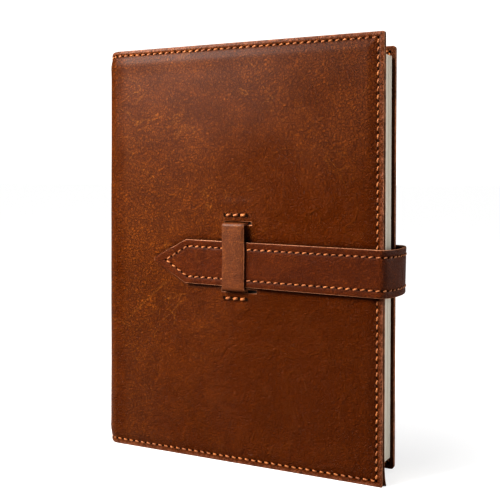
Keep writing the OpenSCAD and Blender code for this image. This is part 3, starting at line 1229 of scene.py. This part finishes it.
@dataclass
class CoverSpine:
    """Outer leather round the spine, between the two panels, and its seams."""

    layout: Layout
    finishes: Finishes
    front: CoverPanel
    back: CoverPanel
    steps: int = 36

    def __post_init__(self) -> None:
        """Draws the outer outline from the front fold to the back fold."""
        front_y, back_y = self.front.face_y, self.back.face_y
        centre = (self.layout.fold_x, (front_y + back_y) / 2)
        self.outline = half_oval(centre, -self.layout.bulge, (back_y - front_y) / 2, 400, True)

    def between(self, front: Any, back: Any, distance: Any) -> Any:
        """A measure that goes evenly from the front panel's to the back panel's."""
        share = distance / self.outline.length
        return front * (1 - share) + back * share

    def build(self) -> Object:
        """Models the spine.

        Returns:
            The finished piece.
        """
        total = self.outline.length
        front_z, back_z = self.front.heights(), self.back.heights()
        rows = np.arange(len(front_z), dtype=float)
        obj, s, index = ruled_grid("spine_cover_leather", np.linspace(0, total, self.steps + 1), rows)
        row = index.astype(int)
        z = self.between(front_z[row], back_z[row], s)
        point, out = self.outline.at(s)
        places = np.stack([point[:, 0], point[:, 1], z], -1)
        edge = np.minimum(z, self.between(self.front.height, self.back.height, s) - z)
        depth = RELIEF.depth(edge, s * SEAMS.pitch / SEAMS.fitted(total), places)
        places[:, :2] -= out * depth[:, None]
        put_points(obj, places)
        add_values(obj, "edge_mm", edge / MM)
        # Half strength over the spine: some painted shade and a little less grain.
        add_values(obj, "smooth_and_shade", np.full_like(s, 0.5))
        flip_faces(obj)
        make_leather(obj, self.front.leather, self.front.rim, (self.finishes.cover, self.finishes.cover_edge),
                     sharp=lambda middle: middle.x > self.layout.fold_x - 0.05 * MM)
        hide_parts("spine_leather")
        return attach(obj, "book")

    def sew(self) -> Object:
        """Models the seams across the spine's head and foot.

        Returns:
            The finished piece.
        """
        sewing = Stitching("spine_sewing", self.finishes, seed=31)
        s = np.linspace(0, self.outline.length, round(self.outline.length / SEAMS.pitch) + 1)
        point, out = self.outline.at(s)
        heads = self.between(self.front.height, self.back.height, s) - SEAMS.inset
        for heights in (np.full_like(s, SEAMS.inset), heads):
            places = np.column_stack([point - out * self.front.outer_depth, heights])
            sewing.add_row([Hole(Vector(place), Vector((*way, 0))) for place, way in zip(places, out)])
        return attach(sewing.build("spine_stitching"), "book")


@dataclass
class Pocket:
    """Inner leather of one cover, sewn on three sides and open towards the spine."""

    panel: CoverPanel
    leather: float = 1.4 * MM
    margin_face: float = 3.8 * MM
    field_face: float = 4.8 * MM
    groove: float = 0.25 * MM
    splay: float = 0.45 * MM
    corner_splay: float = 1.5 * MM
    rim: float = 0.25 * MM
    fine: float = 7 * MM
    fine_step: float = 0.7 * MM

    def build(self) -> Object:
        """Models the pocket leather.

        Returns:
            The finished piece.
        """
        panel = self.panel
        across = ruled_lines(panel.pocket_w, self.fine, self.fine_step, 3 * MM, False)
        along = ruled_lines(panel.height, self.fine, self.fine_step, 2.6 * MM, True)
        obj, u, z = ruled_grid(f"{panel.body}_pocket_leather", across, along)
        to_fore = panel.pocket_w - u
        u = u + panel.width - panel.pocket_w
        edge = np.minimum(np.minimum(to_fore, z), panel.height - z)
        face = self.margin_face + (self.field_face - self.margin_face) * smoothstep(3.9 * MM, 5.6 * MM, edge)
        face -= self.groove * bell(edge, SEAMS.inset, 0.7 * MM)
        if panel.front:
            line = np.stack([np.zeros_like(z), np.zeros_like(z), z], -1)
            free = 1 - smoothstep(0, SEAMS.inset, to_fore)
            near_foot = np.exp(-z / (11 * MM))
            face += free * (self.splay * (1 + 0.6 * noise_at(line, 9 * MM, 2.2)) + self.corner_splay * near_foot)
            u = u + free * 0.5 * MM * near_foot
        u, z = panel.rounded_corners(u, z)
        put_points(obj, np.stack([panel.layout.fold_x + u, panel.face_y - panel.side.value * face, z], -1))
        if panel.front:
            flip_faces(obj)
        make_leather(obj, self.leather, self.rim, (panel.finishes.pocket, panel.finishes.cover_edge))
        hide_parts("front_pocket" if panel.front else "back_pocket")
        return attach(obj, panel.body)


# Strap and keeper


@dataclass
class Strap:
    """The strap in one piece: pointed end, length over the front, bend and sewn base."""

    layout: Layout
    finishes: Finishes
    width: float = 24 * MM
    thickness: float = 2.2 * MM
    reach: float = 130.4 * MM
    point: float = 20 * MM
    tip: float = 0.9 * MM
    base: float = 70 * MM
    base_end: float = 6 * MM
    middle_z: float = 105.6 * MM
    fall: float = math.radians(0.9)
    bend_out: float = 5.4 * MM
    bend_start: float = 1.0 * MM
    gap: float = 0.1 * MM
    groove: float = 0.3 * MM
    dimple: float = 0.1 * MM
    roll: float = 0.14 * MM
    wave: float = 0.16 * MM
    rim: float = 0.35 * MM
    thread: float = 0.78 * MM
    lines: tuple[float, ...] = (0.0, 2.2, 4.2, 5.8, 6.9, 7.5, 7.9, 8.2, 8.5, 8.9, 9.5, 10.3, 11.0, 11.5, 12.0)

    def __post_init__(self) -> None:
        """Works out where the bend starts and the point's slope, and draws the outer face's line from the tip."""
        fore_x, face_y = self.layout.fore_x[Side.FRONT], self.layout.face_y
        self.pivot = fore_x - self.bend_start
        self.slope = math.atan(self.width / 2 / self.point)
        front_y, back_y = face_y[Side.FRONT] - self.gap - self.thickness, face_y[Side.BACK] + self.thickness
        front = np.linspace(fore_x - self.reach, self.pivot, 120, endpoint=False)
        back = np.linspace(self.pivot, fore_x - self.base, 60)
        centre, half = (self.pivot, (front_y + back_y) / 2), (back_y - front_y) / 2
        bend = half_oval(centre, self.bend_start + self.bend_out, half, 160, False)
        self.outline = Outline(
            np.concatenate([np.stack([front, np.full_like(front, front_y)], -1), bend.points,
                            np.stack([back, np.full_like(back, back_y)], -1)]),
            np.concatenate([np.tile([0.0, -1.0], (len(front), 1)), bend.normals, np.tile([0.0, 1.0], (len(back), 1))]),
        )

    def placed(self, distance: Array, across: Array, depth: Array | float) -> Array:
        """Places on the strap, with its slight fall towards the fore-edge.

        Args:
            distance: Running length from the tip.
            across: Distance from the strap's middle line, upwards.
            depth: Depth below the outer face.

        Returns:
            One row of x, y and z for each place.
        """
        point, out = self.outline.at(distance)
        x, y = (point - out * np.reshape(depth, (-1, 1))).T
        cos, sin, dx = math.cos(self.fall), math.sin(self.fall), x - self.pivot
        return np.stack([self.pivot + dx * cos + across * sin, y, self.middle_z + across * cos - dx * sin], -1)

    def half_width(self, distance: Array) -> Array:
        """Half the strap's width, down to a small blunt tip."""
        return np.minimum(self.width / 2, self.tip + distance * (self.width / 2 - self.tip) / self.point)

    def edge_distance(self, distance: Array, across: Array) -> Array:
        """Distance from the nearest cut edge.

        Args:
            distance: Running length from the tip.
            across: Distance from the strap's middle line.

        Returns:
            One distance for each place.
        """
        side = self.width / 2 - np.abs(across)
        point = (self.half_width(distance) - np.abs(across)) * math.cos(self.slope)
        nearest = np.minimum(side, np.where(distance < self.point, point, side))
        return np.minimum(nearest, self.outline.length - distance)

    def build(self) -> Object:
        """Models the strap.

        Returns:
            The finished piece.
        """
        total = self.outline.length
        along = np.concatenate([
            np.linspace(0, self.point, 28, endpoint=False),
            np.linspace(self.point, total - self.base_end, 170, endpoint=False),
            np.linspace(total - self.base_end, total, 13),
        ])
        share = np.array(self.lines) / self.lines[-1]
        obj, s, t = ruled_grid("strap_leather", along, np.concatenate([-share[::-1], share[1:]]))
        w = t * self.half_width(s)
        edge = self.edge_distance(s, w)
        depth = self.groove * bell(edge, SEAMS.strap_inset, SEAMS.groove_half)
        depth += self.roll * (1 - smoothstep(0, 0.8 * MM, edge))
        depth += self.dimple * SEAMS.pull(s) * bell(edge, SEAMS.strap_inset, 1.4 * MM)
        line = np.stack([s, w * 0.4, np.zeros_like(s)], -1)
        depth += self.wave * (0.5 + 0.5 * noise_at(line, 17 * MM, 6.6)) * smoothstep(0, 3 * MM, edge)
        put_points(obj, self.placed(s, w, depth))
        dressed = (self.finishes.strap, self.finishes.strap_edge)
        make_leather(obj, self.thickness - 0.05 * MM, self.rim, dressed, clamp=False)
        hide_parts("strap", "strap_base")
        return self.bend_with_swing(obj)

    def sew(self) -> Object:
        """Models the seam round the strap, from one end of the base to the other by way of the point.

        Returns:
            The finished piece.
        """
        inset, end = SEAMS.strap_inset, self.outline.length - SEAMS.strap_inset
        seam, apex = self.width / 2 - inset, inset / math.sin(self.slope)
        shoulder = apex + seam / math.tan(self.slope)
        corners = [(end, -seam), (shoulder, -seam), (apex, 0.0), (shoulder, seam), (end, seam), (end, -seam)]
        sewing = Stitching("strap_sewing", self.finishes, seed=47, thread=self.thread)
        for (s0, w0), (s1, w1) in zip(corners, corners[1:]):
            count = max(1, round(math.hypot(s1 - s0, w1 - w0) / SEAMS.pitch)) + 1
            s = np.linspace(s0, s1, count)
            places = self.placed(s, np.linspace(w0, w1, count), self.groove + 0.06 * MM)
            sewing.add_row([Hole(Vector(p), Vector((*n, 0))) for p, n in zip(places, self.outline.at(s)[1])])
        return self.bend_with_swing(sewing.build("strap_stitching", "strap_base_stitching"))

    def bend_with_swing(self, obj: Object) -> Object:
        """Bakes obj's place into its mesh."""
        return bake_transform(obj)


@dataclass
class Keeper:
    """The strip that holds the strap, through two slits of the front panel."""

    layout: Layout
    finishes: Finishes
    width: float = 13 * MM
    thickness: float = 1.2 * MM
    height: float = 36.5 * MM
    bend: float = 1.9 * MM
    tail_bend: float = 0.35 * MM
    tail: float = 10 * MM
    tail_depth: float = 0.9 * MM
    rim: float = 0.22 * MM
    thread: float = 1.4 * MM
    thread_in: float = 0.45 * MM
    thread_lift: float = 0.28 * MM
    lines: tuple[float, ...] = (0, 0.18, 0.36, 0.6, 1.2, 2.4, 4.4, 6.6)

    def __post_init__(self) -> None:
        """Reads the keeper's place from the frame."""
        self.low, self.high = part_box("keeper_loop")
        self.front_y = self.layout.face_y[Side.FRONT]

    def half_path(self) -> list[tuple[float, float]]:
        """Outer face of the upper half, from the middle to the tail's end.

        Returns:
            Points in y and height above the middle.
        """
        out, top, bend, small = self.low.y, self.height / 2, self.bend, self.tail_bend
        inner = self.front_y + self.tail_depth
        points = [(out, top * share) for share in np.linspace(0, 1 - bend / top, 14)]
        for a in np.radians(np.linspace(180, 90, 9)):
            points.append((out + bend + bend * math.cos(a), top - bend + bend * math.sin(a)))
        for a in np.radians(np.linspace(-90, 0, 5)):
            points.append((inner - small + small * math.cos(a), top + small + small * math.sin(a)))
        return points + [(inner, top + small + self.tail * share) for share in (0.3, 0.6, 0.95)]

    def build(self) -> Object:
        """Models the keeper.

        Returns:
            The finished piece.
        """
        half = self.half_path()
        path = np.array([(y, -z) for y, z in reversed(half[1:])] + half)
        lines = np.array(self.lines) * MM
        across = np.concatenate([lines, self.width - lines[-2::-1]])
        obj, u, index = ruled_grid("keeper_strip", across, np.arange(len(path), dtype=float))
        y, z = path[index.astype(int)].T
        edge = np.minimum(u, self.width - u)
        outside = np.clip((self.front_y - y) / (2 * MM), 0, 1)
        sink = 0.3 * MM * (1 - smoothstep(0, 1.6 * MM, edge)) + 0.12 * MM * (1 - smoothstep(1 * MM, 5 * MM, edge))
        places = np.stack([self.low.x + u, y + outside * sink, (self.low.z + self.high.z) / 2 + z], -1)
        places[:, 0] += 0.25 * MM * noise_at(places * (0, 0, 1), 14 * MM, 1.3) * outside
        put_points(obj, places)
        make_leather(obj, self.thickness, self.rim, (self.finishes.keeper, self.finishes.cover_edge))
        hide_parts("keeper_loop")
        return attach(obj, "front_cover")

    def sew(self) -> Object:
        """Models the two short seams that hold the keeper's tails.

        Returns:
            The finished piece.
        """
        node_low, node_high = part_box("keeper_stitching")
        sewing = Stitching("keeper_sewing", self.finishes, seed=59, thread=self.thread, slant=0.16, dive=1.1 * MM)
        for z in (node_low.z + self.thread_in, node_high.z - self.thread_in):
            xs = [self.low.x + (self.high.x - self.low.x) * i / 3 for i in range(4)]
            sewing.add_row([Hole(Vector((x, self.front_y - self.thread_lift, z)), Vector((0, -1, 0))) for x in xs])
        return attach(sewing.build("keeper_stitching"), "front_cover")


# Refill


@dataclass
class PageBlock:
    """The refill's pages, in thin layers whose edges don't quite line up."""

    finishes: Finishes
    layers: int = 46
    uneven: float = 0.16 * MM
    hollow: float = 0.5 * MM
    seed: int = 71

    def build(self) -> Object:
        """Models the page block.

        Returns:
            The finished piece.
        """
        low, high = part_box("page_block")
        round_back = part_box("refill_spine")[1].x
        chance = random.Random(self.seed)
        select_only()
        bpy.ops.mesh.primitive_cube_add(size=1.0)
        base = bpy.context.object
        with editing(base):
            bpy.ops.mesh.bisect(plane_co=(0.494, 0, 0), plane_no=(1, 0, 0))
        dress(base, self.finishes.paper)
        thick = (high.y - low.y) / self.layers
        places = []
        for k in range(self.layers):
            side = 2 * (k + 0.5) / self.layers - 1
            bound = round_back - (round_back - low.x) * math.sqrt(max(0.0, 1 - side * side)) + 0.2 * MM
            fore = high.x - self.hollow * (1 - side * side) - chance.uniform(0, self.uneven)
            foot = low.z + chance.uniform(0, self.uneven)
            head = high.z - chance.uniform(0, self.uneven)
            centre = Vector(((bound + fore) / 2, low.y + (k + 0.5) * thick, (foot + head) / 2))
            places.append(Matrix.Translation(centre) @ Matrix.Diagonal((fore - bound, thick * 0.96, head - foot, 1)))
        obj = joined("page_layers", copies(base, places))
        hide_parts("page_block")
        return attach(obj, "book")


def dress_frame_nodes(nodes: dict[str, Object], finishes: Finishes) -> None:
    """Gives the frame's own visible nodes their finish.

    Args:
        nodes: The frame's nodes by name.
        finishes: Materials.
    """
    chosen = {"front_card": finishes.card, "back_card": finishes.card, "refill_spine": finishes.cloth}
    for name, material in chosen.items():
        for slot in nodes[name].material_slots:
            slot.material = material


# Studio


@dataclass(frozen=True)
class Studio:
    """Floor, lights and camera of the product picture."""

    layout: Layout
    focal_px: float = 824.0
    frame_px: float = 500.0
    sensor: float = 36.0
    camera_right: float = 117.7 * MM
    camera_front: float = 391.0 * MM
    camera_height: float = 151.3 * MM
    turn: float = math.radians(25.93)
    pitch: float = math.radians(0.70)
    roll: float = math.radians(0.16)
    horizon_px: float = 190.7

    def add(self, name: str, data: bpy.types.ID) -> Object:
        """Adds a camera or a light to the scene."""
        obj = bpy.data.objects.new(name, data)
        bpy.context.collection.objects.link(obj)
        return obj

    def camera(self) -> None:
        """Places the camera where the photograph's edges put it."""
        data = bpy.data.cameras.new("product_camera")
        data.sensor_width = self.sensor
        data.lens = self.focal_px / self.frame_px * self.sensor
        data.shift_y = (self.horizon_px - self.frame_px / 2) / self.frame_px
        data.clip_start, data.clip_end = 0.01, 50
        level = math.cos(self.pitch)
        forward = Vector((-math.sin(self.turn) * level, math.cos(self.turn) * level, -math.sin(self.pitch)))
        right = Vector((math.cos(self.turn), math.sin(self.turn), 0))
        up = right.cross(forward)
        cos, sin = math.cos(self.roll), math.sin(self.roll)
        right, up = right * cos + up * sin, up * cos - right * sin
        fore_x, front_y = self.layout.fore_x[Side.FRONT], self.layout.face_y[Side.FRONT]
        place = Vector((fore_x + self.camera_right, front_y - self.camera_front, self.camera_height))
        obj = self.add("product_camera", data)
        obj.matrix_world = Matrix.Translation(place) @ Matrix((right, up, -forward)).transposed().to_4x4()
        bpy.context.scene.camera = obj

    def softbox(self, name: str, place: tuple[float, float, float], size: tuple[float, float], watts: float,
                colour: tuple[float, float, float] = (1, 1, 1), spread: float = 180) -> None:
        """Adds a soft light that faces the notebook.

        Args:
            name: Name of the light.
            place: Where it stands.
            size: Its width and height.
            watts: Its power.
            colour: Its colour.
            spread: The angle that it spreads over, in degrees.
        """
        data = bpy.data.lights.new(name, "AREA")
        data.spread = math.radians(spread)
        data.shape = "RECTANGLE"
        data.size, data.size_y = size
        data.energy = watts
        data.color = colour
        obj = self.add(name, data)
        aim = Vector((-0.02, 0, self.layout.top[Side.FRONT] * 0.62))
        obj.location = place
        obj.rotation_euler = (aim - Vector(place)).to_track_quat("-Z", "Y").to_euler()

    def overhead(self, way: tuple[float, float, float], strength: float) -> None:
        """Adds an even light that reaches the whole floor alike, from the given way."""
        data = bpy.data.lights.new("overhead_light", "SUN")
        data.energy = strength
        data.angle = math.radians(40)
        self.add("overhead_light", data).rotation_euler = Vector(way).to_track_quat("Z", "Y").to_euler()

    def floor(self) -> None:
        """Adds the plain white floor."""
        select_only()
        bpy.ops.mesh.primitive_plane_add(size=60)
        obj = bpy.context.object
        obj.name = "studio_floor"
        material, tree, shader, coords = new_material("studio_floor", rough=0.9)
        seen = add_node(tree, "ShaderNodeLightPath").outputs["Is Camera Ray"]
        white = mixed(tree, MOTTLE(tree, coords, Scale=8.0), rgb(0.52, 0.52, 0.522), rgb(0.53, 0.53, 0.532))
        tree.links.new(mixed(tree, seen, rgb(0.38, 0.38, 0.38), white), shader.inputs["Base Color"])
        tree.links.new(mixed(tree, seen, rgb(0.02, 0.02, 0.02), rgb(0.55, 0.55, 0.55)), shader.inputs["Emission Color"])
        shader.inputs["Emission Strength"].default_value = 1.0
        dress(obj, material)

    def world(self) -> None:
        """White behind the notebook, and a softer light from all round."""
        world = bpy.data.worlds.new("studio_world")
        world.use_nodes = True
        tree = world.node_tree
        tree.nodes.clear()
        rays = add_node(tree, "ShaderNodeLightPath").outputs
        strength = math_node(tree, "MULTIPLY_ADD", rays["Is Glossy Ray"], -0.06, 0.12)
        soft, white = (add_node(tree, "ShaderNodeBackground", {0: colour, 1: power}).outputs[0]
                       for colour, power in ((rgb(1, 0.99, 0.975), strength), (rgb(1, 1, 1), 1.05)))
        mix = add_node(tree, "ShaderNodeMixShader", {0: rays["Is Camera Ray"], 1: soft, 2: white})
        add_node(tree, "ShaderNodeOutputWorld", {0: mix.outputs[0]})
        bpy.context.scene.world = world

    def build(self) -> None:
        """Sets the whole studio up."""
        self.camera()
        self.floor()
        self.world()
        self.softbox("key_softbox", (-0.30, -0.37, 0.41), (0.28, 0.26), 2.3, (1, 0.975, 0.94), 90)
        self.softbox("side_softbox", (0.90, 0.42, 0.35), (0.6, 0.6), 7.0)
        self.overhead((-0.42, -0.42, 1.0), 1.6)
        view = bpy.context.scene.view_settings
        view.view_transform = "Standard"
        view.look = "Medium High Contrast"
        view.exposure = 0.0


def main() -> None:
    """Builds the notebook round its frame, and the studio round the notebook."""
    logging.basicConfig(level=logging.INFO, format="%(name)s: %(message)s")
    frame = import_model()
    layout = Layout.from_frame()
    Studio(layout).build()
    finishes = Finishes()
    front = CoverPanel(layout, Side.FRONT, finishes)
    back = CoverPanel(layout, Side.BACK, finishes)
    spine = CoverSpine(layout, finishes, front, back)
    strap = Strap(layout, finishes)
    keeper = Keeper(layout, finishes)
    for step in (
        front.build, back.build, spine.build, Pocket(front).build, Pocket(back).build, strap.build, keeper.build,
        front.sew, back.sew, spine.sew, strap.sew, keeper.sew, PageBlock(finishes).build,
    ):
        piece = step()
        LOG.info("%s: %d faces", piece.name, len(piece.data.polygons))
    dress_frame_nodes(frame["nodes"], finishes)
    select_only()


if __name__ == "__main__":
    main()
